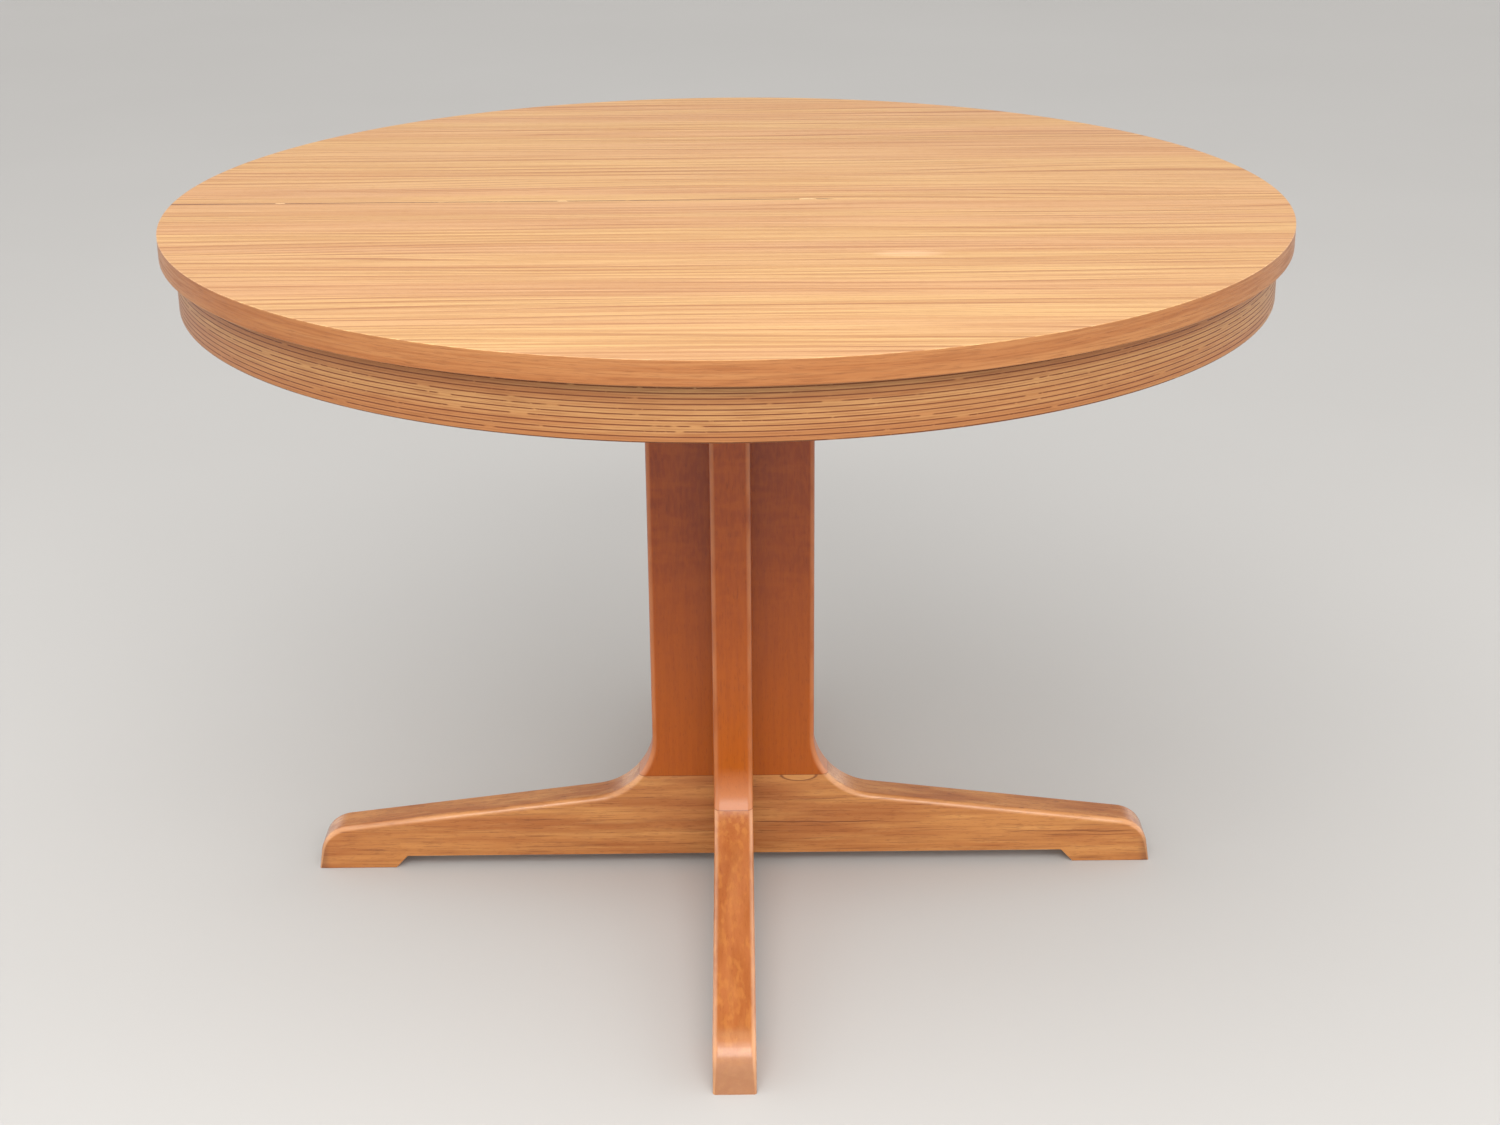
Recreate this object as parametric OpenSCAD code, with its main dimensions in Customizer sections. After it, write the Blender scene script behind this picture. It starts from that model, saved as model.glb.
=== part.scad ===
// Round pedestal dining table with a top that is split across the middle.
// The two half tops slide apart on wooden runners, so that a loose leaf can be laid between them.
// +Z is up. The origin is on the floor under the middle of the table.
// The halves slide along Y: the front half towards -Y, and the back half towards +Y.

/* [Top] */
// Height of the table's surface above the floor
table_h = 735; // [715:5:760]
// Diameter of the top
top_d = 1100; // [1040:10:1160]
// Thickness of each half top, veneer included
top_t = 22; // [19:1:26]
// Thickness of the solid wood band round the edge
band_t = 4; // [3:0.5:8]
// Thickness of the veneer on the surface
veneer_t = 0.6; // [0.5:0.1:1]
// Gap between the two closed halves
seam_gap = 0.4; // [0.3:0.1:1]

/* [Apron] */
// How far the top stands out past the apron
apron_setback = 14.5; // [12:0.5:30]
// Height of the apron
apron_h = 51; // [48:1:64]
// Thickness of the apron
apron_t = 18; // [14:1:22]

/* [Pedestal] */
// Thickness of the core post, the four boards and the four feet
wood_t = 41; // [38:1:46]
// Distance from the table's axis to a board's outer edge
board_reach = 87; // [84:1:96]
// Height of the glue line between a foot and the board on it
glue_line_z = 109; // [106:1:114]
// Radius of the cove where a board runs out into its foot
cove_r = 70; // [66:1:76]

/* [Feet] */
// Distance from the table's axis to a foot's outer end
foot_reach = 455; // [430:5:470]
// Height of a foot where its upper face meets the rounded end
tip_h = 50; // [47:1:54]
// Radius of the rounded end
tip_r = 34; // [28:1:38]
// Slope of the upper face, in degrees
foot_slope = 7; // [6:0.5:8]
// Lean of the end face from the vertical, in degrees
tip_lean = 8; // [4:1:10]
// Length of the pad that stands on the floor
pad_l = 84; // [70:1:96]
// Height of the relief under a foot
relief_h = 14; // [10:1:18]
// Length of the slope between the pad and the relief
relief_run = 13; // [8:1:16]

/* [Slides] */
// Distance that each half top can be pulled out
travel = 260; // [240:5:265]
// Distance between the centre lines of the two fixed rails
rail_spacing = 360; // [340:5:380]
// Width of a fixed rail
rail_w = 44; // [42:1:46]
// Length of a fixed rail
rail_l = 600; // [590:5:610]
// Width of a runner
runner_w = 26; // [24:1:30]

/* [Hidden] */

$fn = 96;
ring_fn = 360;

// Larger than the whole table, and how far a cutting shape reaches past the face that it opens
big = 3000;
past = 1;

// Colours of the woods and metals
oak = [0.93, 0.72, 0.48];
oak_edge = [0.80, 0.54, 0.30];
stained = [0.70, 0.42, 0.22];
foot_wood = [0.76, 0.50, 0.27];
beech = [0.86, 0.72, 0.54];
chipboard = [0.72, 0.60, 0.44];
steel = [0.75, 0.75, 0.77];

// The top, from the floor upwards
top_r = top_d / 2;
under_z = table_h - top_t;
veneer_z = table_h - veneer_t;
apron_z = under_z - apron_h;
apron_r = top_r - apron_setback;
apron_in_r = apron_r - apron_t;

// The pedestal's cross-shaped column
half_t = wood_t / 2;
core_rise = 1;
core_z = relief_h + core_rise;

// The slides hang in the hollow of the apron, one above the other
slide_gap = 0.5;
panel_gap = 1;
runner_h = 30;
rail_h = 44;
groove_d = 11;
tongue_d = 10;
tongue_h = 12;
tongue_rise = 9;
groove_clear = 0.3;
rail_top_z = under_z - panel_gap;
rail_z = rail_top_z - rail_h;
runner_z = under_z - runner_h;
tongue_z = runner_z + tongue_rise;
runner_past_seam = 230;

// A runner's top is cut lower from this far before the seam on, so that it never rubs on the other half top
runner_relief_start = 35;

// The runners end short of the apron
runner_side_x = rail_spacing / 2 + rail_w / 2 + slide_gap + runner_w;
runner_end_room = 18;
runner_out = floor(sqrt(apron_in_r * apron_in_r - runner_side_x * runner_side_x)) - runner_end_room;

// The frame between the pedestal and the rails
bearer_t = 24;
bearer_w = 60;
bearer_overhang = 25;
bearer_l = rail_spacing + rail_w + 2 * bearer_overhang;
bearer_y = 55;
bearer_top_z = runner_z - panel_gap;
bearer_z = bearer_top_z - bearer_t;
plate_t = 18;
plate_w = 230;
column_top_z = bearer_z - plate_t;

// Stop pins cross the grooves near the rails' ends
pin_r = 2.5;
pin_l = 36;
pin_from_end = 12;
pin_y = rail_l / 2 - pin_from_end;
tongue_out = pin_y - pin_r - slide_gap - travel;

// Glue blocks between the apron and the panel
block_l = 60;
block_leg = 28;
block_nose = 6;
block_gap = 0.1;
block_turns = [-70, -35, 0, 35, 70];

// Dowels between the core and the boards, between the core and the feet, and between boards and feet.
// Those of the front and back legs are raised, so that they pass the others inside the core.
fit_clear = 0.05;
dowel_r = 5;
dowel_l = 40;
dowel_chamfer = 1;
dowel_in_core = 18;
core_dowel_z = [190, 370, column_top_z - 90];
core_dowel_raise = 30;
foot_dowel_z = [36, 74];
foot_dowel_raise = 17;
board_dowel_l = 50;
board_dowel_x = [51, 77];

// Dowels in the seam
seam_dowel_r = 4;
seam_dowel_l = 30;
seam_clear = 0.3;
seam_end_room = 1;
seam_dowel_x = [-420, 0, 420];

// Screws
screw_r = 2.25;
screw_tip_r = 0.4;
screw_tip_l = 2;
screw_end_room = 0.5;
head_r = 4.5;
head_h = 3;
slot_w = 1.2;
slot_d = 1.2;
head_screw_l = 60;
head_screw_x = [38, 68];
bearer_screw_l = 36;
bearer_screw_x = 96;
rail_screw_l = 45;
runner_screw_l = 42;
runner_screw_y = [60, 225, runner_out - 50];

// The directions that the four legs point in: right, back, left, front
RIGHT = 0;
BACK = 90;
LEFT = 180;
FRONT = 270;

// ---- Outline of a leg: x runs out from the table's axis, and y is up ----

// Centre of the arc at the foot's outer end
tip_c = [foot_reach - tip_r * cos(tip_lean)
             - (tip_h - tip_r * cos(foot_slope) + tip_r * sin(tip_lean)) * tan(tip_lean),
         tip_h - tip_r * cos(foot_slope)];
tip_bottom = tip_c + tip_r * [cos(tip_lean), sin(tip_lean)];

// The upper face is a straight slope that touches the arc of the end and the arc of the cove
slope_out = tip_c + tip_r * [sin(foot_slope), cos(foot_slope)];
cove_x = board_reach + cove_r;
cove_c = [cove_x, slope_out[1] + (slope_out[0] - cove_x) * tan(foot_slope) + cove_r / cos(foot_slope)];
slope_in = cove_c - cove_r * [sin(foot_slope), cos(foot_slope)];

// The arcs reach this far past the straight lines that they touch, so that each crossing is a clean one
arc_bite = 0.05;

// The part of the end's disc below this height is left out, because it would reach under the floor
disc_cut_z = tip_r / 4;

// A foot and the board on it, in one outline
module leg_outline() {
    difference() {
        union() {
            polygon([
                [half_t, relief_h],
                [foot_reach - pad_l - relief_run, relief_h],
                [foot_reach - pad_l, 0],
                [foot_reach, 0],
                tip_bottom,
                slope_out,
                slope_in,
                [board_reach, cove_c[1]],
                [board_reach, column_top_z],
                [half_t, column_top_z]
            ]);
            intersection() {
                translate(tip_c) circle(tip_r + arc_bite);
                translate([tip_c[0] - tip_r / 2, disc_cut_z]) square(2 * tip_r);
            }
        }
        translate(cove_c) circle(cove_r + arc_bite);
    }
}

// The stretch of the outline between two heights, as a solid that points along an angle
module leg_piece(angle, from_z, to_z) {
    rotate([0, 0, angle])
        translate([0, half_t, 0])
            rotate([90, 0, 0])
                linear_extrude(wood_t)
                    intersection() {
                        leg_outline();
                        translate([0, from_z]) square([foot_reach + past, to_z - from_z]);
                    }
}

// ---- Dowels and screws ----

// A dowel with chamfered ends
module dowel(radius, length) {
    translate([0, 0, dowel_chamfer]) cylinder(r = radius, h = length - 2 * dowel_chamfer);
    cylinder(r1 = radius - dowel_chamfer, r2 = radius, h = dowel_chamfer);
    translate([0, 0, length - dowel_chamfer])
        cylinder(r1 = radius, r2 = radius - dowel_chamfer, h = dowel_chamfer);
}

// Dowels that run out from the core into a board or a foot
module place_level_dowels(angle, heights, raise) {
    own_raise = (angle == FRONT || angle == BACK) ? raise : 0;
    rotate([0, 0, angle])
        for (z = heights)
            translate([half_t - dowel_in_core, 0, z + own_raise]) rotate([0, 90, 0]) children();
}

// Three dowels join each board to the core
module place_core_dowels(angle) {
    place_level_dowels(angle, core_dowel_z, core_dowel_raise) children();
}

// Two dowels join each foot to the core
module place_foot_dowels(angle) {
    place_level_dowels(angle, foot_dowel_z, foot_dowel_raise) children();
}

// Two dowels stand in the glue line between each foot and its board
module place_board_dowels(angle) {
    rotate([0, 0, angle])
        for (x = board_dowel_x)
            translate([x, 0, glue_line_z - board_dowel_l / 2]) children();
}

module dowel_hole(length) {
    translate([0, 0, -fit_clear]) cylinder(r = dowel_r + fit_clear, h = length + 2 * fit_clear);
}

// A countersunk screw that points down, with its head's flat face at z = 0
module screw(length) {
    difference() {
        union() {
            translate([0, 0, -head_h]) cylinder(r1 = screw_r, r2 = head_r, h = head_h);
            translate([0, 0, screw_tip_l - length]) cylinder(r = screw_r, h = length - screw_tip_l - head_h);
            translate([0, 0, -length]) cylinder(r1 = screw_tip_r, r2 = screw_r, h = screw_tip_l);
        }
        translate([-head_r - past, -slot_w / 2, -slot_d])
            cube([2 * (head_r + past), slot_w, slot_d + past]);
    }
}

module screw_hole(length) {
    translate([0, 0, -head_h - fit_clear])
        cylinder(r1 = screw_r + fit_clear, r2 = head_r + 2 * fit_clear, h = head_h + 2 * fit_clear);
    translate([0, 0, -length - screw_end_room]) cylinder(r = screw_r + fit_clear, h = length);
}

// Eight screws hold the head plate down on the ends of the boards
module place_head_screws() {
    for (angle = [RIGHT, BACK, LEFT, FRONT], x = head_screw_x)
        rotate([0, 0, angle]) translate([x, 0, bearer_z]) children();
}

// Two screws hold each bearer down on the head plate
module place_bearer_screws() {
    for (x = [-bearer_screw_x, bearer_screw_x], y = [-bearer_y, bearer_y])
        translate([x, y, bearer_top_z]) children();
}

// One screw comes up through each end of a bearer into the rail on it
module place_rail_screws() {
    for (x = [-rail_spacing / 2, rail_spacing / 2], y = [-bearer_y, bearer_y])
        translate([x, y, bearer_z]) rotate([180, 0, 0]) children();
}

// Three screws come up through each runner into its half top
module place_runner_screws(half) {
    for (side = [-1, 1], y = runner_screw_y)
        translate([side * runner_x(half), half * y, runner_z]) rotate([180, 0, 0]) children();
}

// ---- Pedestal ----

module core_post() {
    color(stained)
        difference() {
            translate([-half_t, -half_t, core_z]) cube([wood_t, wood_t, column_top_z - core_z]);
            for (angle = [RIGHT, BACK, LEFT, FRONT]) {
                place_core_dowels(angle) dowel_hole(dowel_l);
                place_foot_dowels(angle) dowel_hole(dowel_l);
            }
        }
}

// A vertical board of the column, above the glue line
module board(angle) {
    color(stained)
        difference() {
            leg_piece(angle, glue_line_z, column_top_z + past);
            place_core_dowels(angle) dowel_hole(dowel_l);
            place_board_dowels(angle) dowel_hole(board_dowel_l);
            place_head_screws() screw_hole(head_screw_l);
        }
}

// A foot, below the glue line
module foot(angle) {
    color(foot_wood)
        difference() {
            leg_piece(angle, -past, glue_line_z);
            place_foot_dowels(angle) dowel_hole(dowel_l);
            place_board_dowels(angle) dowel_hole(board_dowel_l);
        }
}

module left_board() board(LEFT);
module right_board() board(RIGHT);
module front_board() board(FRONT);
module back_board() board(BACK);
module left_foot() foot(LEFT);
module right_foot() foot(RIGHT);
module front_foot() foot(FRONT);
module back_foot() foot(BACK);

module core_dowels() {
    color(beech)
        for (angle = [RIGHT, BACK, LEFT, FRONT])
            place_core_dowels(angle) dowel(dowel_r, dowel_l);
}

module foot_dowels() {
    color(beech)
        for (angle = [RIGHT, BACK, LEFT, FRONT])
            place_foot_dowels(angle) dowel(dowel_r, dowel_l);
}

module board_dowels() {
    color(beech)
        for (angle = [RIGHT, BACK, LEFT, FRONT])
            place_board_dowels(angle) dowel(dowel_r, board_dowel_l);
}

// ---- Frame and fixed rails ----

module head_plate() {
    color(beech)
        difference() {
            translate([-plate_w / 2, -plate_w / 2, column_top_z]) cube([plate_w, plate_w, plate_t]);
            place_head_screws() screw_hole(head_screw_l);
            place_bearer_screws() screw_hole(bearer_screw_l);
        }
}

module head_screws() {
    color(steel) place_head_screws() screw(head_screw_l);
}

module bearer(side) {
    color(beech)
        difference() {
            translate([-bearer_l / 2, side * bearer_y - bearer_w / 2, bearer_z])
                cube([bearer_l, bearer_w, bearer_t]);
            place_bearer_screws() screw_hole(bearer_screw_l);
            place_rail_screws() screw_hole(rail_screw_l);
        }
}

module front_bearer() bearer(-1);
module back_bearer() bearer(1);

module bearer_screws() {
    color(steel) place_bearer_screws() screw(bearer_screw_l);
}

// A fixed rail: a bar with a groove along each side, notched over the two bearers
module rail(side) {
    groove_h = tongue_h + 2 * groove_clear;
    color(beech)
        difference() {
            translate([side * rail_spacing / 2 - rail_w / 2, -rail_l / 2, rail_z])
                cube([rail_w, rail_l, rail_h]);
            for (way = [-1, 1])
                translate([side * rail_spacing / 2 + way * (rail_w / 2 - groove_d) + min(0, way) * big,
                           -big / 2, tongue_z - groove_clear])
                    cube([big, big, groove_h]);
            for (y = [-bearer_y, bearer_y])
                translate([-big / 2, y - bearer_w / 2, rail_z - past])
                    cube([big, bearer_w, bearer_top_z - rail_z + past]);
            place_rail_screws() screw_hole(rail_screw_l);
            place_stop_pins() pin_hole();
        }
}

module left_rail() rail(-1);
module right_rail() rail(1);

module rail_screws() {
    color(steel) place_rail_screws() screw(rail_screw_l);
}

// A steel pin crosses each groove, and the tongue of a pulled-out runner meets it.
// The front half's runners are on the inner sides of the rails, and the back half's on the outer sides.
module place_stop_pins() {
    for (side = [-1, 1], half = [-1, 1])
        translate([side * (rail_spacing / 2 + half * (rail_w / 2 - groove_d / 2)),
                   half * pin_y, rail_top_z - pin_l])
            children();
}

module pin_hole() {
    translate([0, 0, -fit_clear]) cylinder(r = pin_r + fit_clear, h = pin_l + past);
}

module stop_pins() {
    color(steel) place_stop_pins() cylinder(r = pin_r, h = pin_l);
}

// ---- The two half tops: half is -1 for the front one and 1 for the back one ----

// Distance from the table's axis to the centre line of a runner
function runner_x(half) = rail_spacing / 2 + half * (rail_w / 2 + slide_gap + runner_w / 2);

// The side of the seam that a half top is on
module half_space(half) {
    translate([-big / 2, half > 0 ? seam_gap / 2 : -big - seam_gap / 2]) square(big);
}

module half_disc(half, radius) {
    intersection() {
        circle(radius, $fn = ring_fn);
        half_space(half);
    }
}

module half_ring(half, outer_r, inner_r) {
    intersection() {
        difference() {
            circle(outer_r, $fn = ring_fn);
            circle(inner_r, $fn = ring_fn);
        }
        half_space(half);
    }
}

// The board under the veneer, with holes in the seam and for the runners' screws
module panel(half) {
    color(chipboard)
        difference() {
            translate([0, 0, under_z])
                linear_extrude(top_t - veneer_t) half_disc(half, top_r - band_t);
            place_runner_screws(half) screw_hole(runner_screw_l);
            place_seam_dowels()
                translate([0, 0, -seam_end_room])
                    cylinder(r = seam_dowel_r + (half > 0 ? seam_clear : fit_clear),
                             h = seam_dowel_l + 2 * seam_end_room);
        }
}

module edge_band(half) {
    color(oak_edge)
        translate([0, 0, under_z])
            linear_extrude(top_t - veneer_t) half_ring(half, top_r, top_r - band_t);
}

module veneer(half) {
    color(oak)
        translate([0, 0, veneer_z])
            linear_extrude(veneer_t) half_disc(half, top_r);
}

module apron(half) {
    color(oak_edge)
        translate([0, 0, apron_z])
            linear_extrude(apron_h) half_ring(half, apron_r, apron_in_r);
}

// Glue blocks fill the corner between the apron and the panel
module glue_blocks(half) {
    block_r = sqrt(apron_in_r * apron_in_r - block_l * block_l / 4) - block_gap;
    color(beech)
        for (turn = block_turns)
            rotate([0, 0, half * 90 + turn])
                translate([block_r, block_l / 2, under_z])
                    rotate([90, 0, 0])
                        linear_extrude(block_l)
                            polygon([[0, 0], [-block_leg, 0], [-block_nose, -block_leg], [0, -block_leg]]);
}

// A runner is screwed under its half top, reaches past the seam, and rides by its tongue in a rail's groove
module runner(half, side) {
    out_y = half * runner_out;
    in_y = -half * runner_past_seam;
    tongue_y = half * tongue_out;
    relief_y = half * runner_relief_start;
    x = side * runner_x(half);
    way = -side * half;
    color(beech)
        difference() {
            union() {
                translate([x - runner_w / 2, min(out_y, in_y), runner_z])
                    cube([runner_w, abs(out_y - in_y), runner_h]);
                translate([x + min(0, way) * (runner_w / 2 + slide_gap + tongue_d),
                           min(tongue_y, in_y), tongue_z])
                    cube([runner_w / 2 + slide_gap + tongue_d, abs(tongue_y - in_y), tongue_h]);
            }
            translate([x - runner_w / 2 - past, min(relief_y, in_y - past), under_z - panel_gap])
                cube([runner_w + 2 * past, abs(relief_y - in_y) + past, panel_gap + past]);
            place_runner_screws(half) screw_hole(runner_screw_l);
        }
}

module runner_screws(half) {
    color(steel) place_runner_screws(half) screw(runner_screw_l);
}

// Loose-fitting dowels line up the two halves when they are closed
module place_seam_dowels() {
    for (x = seam_dowel_x)
        translate([x, -seam_dowel_l / 2, (under_z + veneer_z) / 2]) rotate([-90, 0, 0]) children();
}

module seam_dowels() {
    color(beech) place_seam_dowels() dowel(seam_dowel_r, seam_dowel_l);
}

module front_panel() panel(-1);
module front_edge_band() edge_band(-1);
module front_veneer() veneer(-1);
module front_apron() apron(-1);
module front_glue_blocks() glue_blocks(-1);
module front_left_runner() runner(-1, -1);
module front_right_runner() runner(-1, 1);
module front_runner_screws() runner_screws(-1);
module back_panel() panel(1);
module back_edge_band() edge_band(1);
module back_veneer() veneer(1);
module back_apron() apron(1);
module back_glue_blocks() glue_blocks(1);
module back_left_runner() runner(1, -1);
module back_right_runner() runner(1, 1);
module back_runner_screws() runner_screws(1);

core_post();
left_board();
right_board();
front_board();
back_board();
left_foot();
right_foot();
front_foot();
back_foot();
core_dowels();
foot_dowels();
board_dowels();
head_plate();
head_screws();
front_bearer();
back_bearer();
bearer_screws();
left_rail();
right_rail();
rail_screws();
stop_pins();
front_panel();
front_edge_band();
front_veneer();
front_apron();
front_glue_blocks();
front_left_runner();
front_right_runner();
front_runner_screws();
seam_dowels();
back_panel();
back_edge_band();
back_veneer();
back_apron();
back_glue_blocks();
back_left_runner();
back_right_runner();
back_runner_screws();
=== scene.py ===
import math

import bmesh
import bpy
from mathutils import Matrix, Vector


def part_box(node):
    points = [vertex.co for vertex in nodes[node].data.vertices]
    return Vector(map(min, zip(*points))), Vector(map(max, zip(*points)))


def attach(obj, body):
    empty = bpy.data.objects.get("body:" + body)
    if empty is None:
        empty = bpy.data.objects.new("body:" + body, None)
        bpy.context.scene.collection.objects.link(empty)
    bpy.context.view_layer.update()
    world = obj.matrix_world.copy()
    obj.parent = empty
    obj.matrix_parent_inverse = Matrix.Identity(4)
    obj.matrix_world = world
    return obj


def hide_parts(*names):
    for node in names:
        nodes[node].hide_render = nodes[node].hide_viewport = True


# Looks of the round pedestal table: meshes with eased and rounded edges for the woodwork that shows, and
# procedural materials for every piece. Lengths are in metres, in the table's own frame: +Z is up, the halves
# of the top slide along Y, and the front half is at -Y.

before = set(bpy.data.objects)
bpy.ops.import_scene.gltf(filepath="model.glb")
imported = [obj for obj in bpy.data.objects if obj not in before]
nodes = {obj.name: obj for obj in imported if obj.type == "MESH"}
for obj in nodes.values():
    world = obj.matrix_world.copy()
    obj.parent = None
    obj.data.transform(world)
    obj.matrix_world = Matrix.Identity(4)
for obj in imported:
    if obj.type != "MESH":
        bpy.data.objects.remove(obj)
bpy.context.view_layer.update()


# ---- Sizes that the frame gives ----

def lowest(node):
    """The lowest x, y and z of a node."""
    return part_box(node)[0]


def highest(node):
    """The highest x, y and z of a node."""
    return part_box(node)[1]


def smallest_radius(node):
    """The inner radius of a ring-shaped node round the Z axis."""
    return min(vertex.co.xy.length for vertex in nodes[node].data.vertices)


top_z = highest("front_veneer").z
veneer_z = lowest("front_veneer").z
top_r = highest("front_veneer").x
seam_half_gap = -highest("front_veneer").y

band_z = lowest("front_edge_band").z
band_in_r = smallest_radius("front_edge_band")

apron_z = lowest("front_apron").z
apron_top_z = highest("front_apron").z
apron_r = highest("front_apron").x
apron_in_r = smallest_radius("front_apron")

half_t = highest("right_foot").y
foot_reach = highest("right_foot").x
glue_z = highest("right_foot").z
column_top = highest("right_board").z
level_margin = 0.0001   # points this close to the column's top count as part of it
board_reach = max(vertex.co.x for vertex in nodes["right_board"].data.vertices
                  if vertex.co.z > column_top - level_margin)

# ---- Sizes of the leg's outline, as part.scad has them ----

cove_r = 0.070                  # inside curve between a board and the slope of its foot
tip_r = 0.034                   # round of a foot's end
tip_h = 0.050                   # height where the slope meets that round
foot_slope = math.radians(7)    # fall of a foot's upper face
tip_lean = math.radians(8)      # lean of the end below the round
pad_l = 0.084                   # length of the pad that stands on the floor
relief_h = 0.014                # height of the clear space between the pad and the column
relief_run = 0.013              # length of the slope from the pad up to it

# Middle of the arc round a foot's end, the point where the slope meets that arc, and the cove's middle
tip_z = tip_h - tip_r * math.cos(foot_slope)
tip_x = foot_reach - tip_r * math.cos(tip_lean) - (tip_z + tip_r * math.sin(tip_lean)) * math.tan(tip_lean)
tip_c = Vector((tip_x, tip_z))
slope_out = tip_c + tip_r * Vector((math.sin(foot_slope), math.cos(foot_slope)))
cove_x = board_reach + cove_r
cove_z = slope_out.y + (slope_out.x - cove_x) * math.tan(foot_slope) + cove_r / math.cos(foot_slope)
cove_c = Vector((cove_x, cove_z))

# ---- How far the edges are worked ----

edge_r = 0.0065         # round-over along the boards and the feet
end_edge_r = 0.0025     # the same at the floor, where a foot ends
ease_r = 0.0009         # the feet's lower edges
band_ease = 0.0010      # lower edge of the edge band
apron_ease = 0.0016     # lower edges of the apron
arris = 0.0003          # edge of the veneer
seam_arris = 0.7 * arris
chip_drop = 0.00045     # how far a chip beside the seam goes down into the veneer

# ---- The seam ----

seam_tight_x = 0.11     # round here the halves close up, from left to right
closing_l = 0.10        # length over which they do
closed_share = 0.85     # how much of the gap goes there

# ---- How finely the curves are drawn ----

round_steps = 7
ring_steps = 180
seam_steps = 44
board_cove_steps = 14
foot_cove_steps = 18
tip_steps = 16
band_ease_steps = 4
apron_ease_steps = 5

LEGS = {"right": 0, "back": 90, "left": 180, "front": 270}
HALVES = {"front": -1, "back": 1}

# From one leg to the next the grain moves on by this, so that no two look the same
LEG_GRAIN_STEP = Vector((0, 1.9, 0.6))


# ---- Making meshes ----

sharp_angle = math.radians(40)      # faces that meet at more than this keep a crisp edge


def arc(centre, radius, start, end, count):
    """Points on an arc, both ends included. The angles are in radians."""
    turns = [start + (end - start) * i / count for i in range(count + 1)]
    return [(centre[0] + radius * math.cos(a), centre[1] + radius * math.sin(a)) for a in turns]


def skin(loops):
    """The faces over closed loops that have equally many points, with flat caps at the two ends."""
    size = len(loops[0])
    faces = [list(range(size)), [len(loops) * size - 1 - i for i in range(size)]]
    for row in range(len(loops) - 1):
        for i in range(size):
            here = row * size
            after = (i + 1) % size
            faces.append([here + i, here + after, here + size + after, here + size + i])
    return faces


def piece(name, body, points, faces, grain, replaces, materials, raw_faces=(), edge=()):
    """A piece of the object. Its grain attribute holds each point's place along, across and into the grain.
    Its edge attribute holds how much each point is on a rounded edge, and how much on the outer face."""
    mesh = bpy.data.meshes.new(name)
    mesh.from_pydata(points, [], faces)
    for material in materials:
        mesh.materials.append(material)
    for index in raw_faces:
        mesh.polygons[index].material_index = 1
    grain_layer = mesh.attributes.new("grain", "FLOAT_VECTOR", "POINT")
    grain_layer.data.foreach_set("vector", [value for place in grain for value in place])
    if edge:
        edge_layer = mesh.attributes.new("edge", "FLOAT_VECTOR", "POINT")
        edge_layer.data.foreach_set("vector", [value for place in edge for value in place])
    return finished(name, body, mesh, replaces)


def finished(name, body, mesh, replaces):
    """Puts a mesh in the scene with its faces turned outwards and its normals even, riding on a body."""
    work = bmesh.new()
    work.from_mesh(mesh)
    bmesh.ops.recalc_face_normals(work, faces=work.faces)
    work.to_mesh(mesh)
    work.free()
    mesh.shade_smooth()
    mesh.set_sharp_from_angle(angle=sharp_angle)
    made = bpy.data.objects.new(name, mesh)
    bpy.context.scene.collection.objects.link(made)
    even = made.modifiers.new("Even normals", "WEIGHTED_NORMAL")
    even.keep_sharp = True
    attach(made, body)
    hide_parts(*replaces)
    return made


# ---- Materials ----

lacquer_roughness = 0.22


def shade(red, green, blue):
    """A colour as it is seen on a screen, from 0 to 255, as the linear colour that a shader takes."""
    def linear(value):
        value /= 255
        return value / 12.92 if value <= 0.04045 else ((value + 0.055) / 1.055) ** 2.4
    return linear(red), linear(green), linear(blue), 1.0


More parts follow.
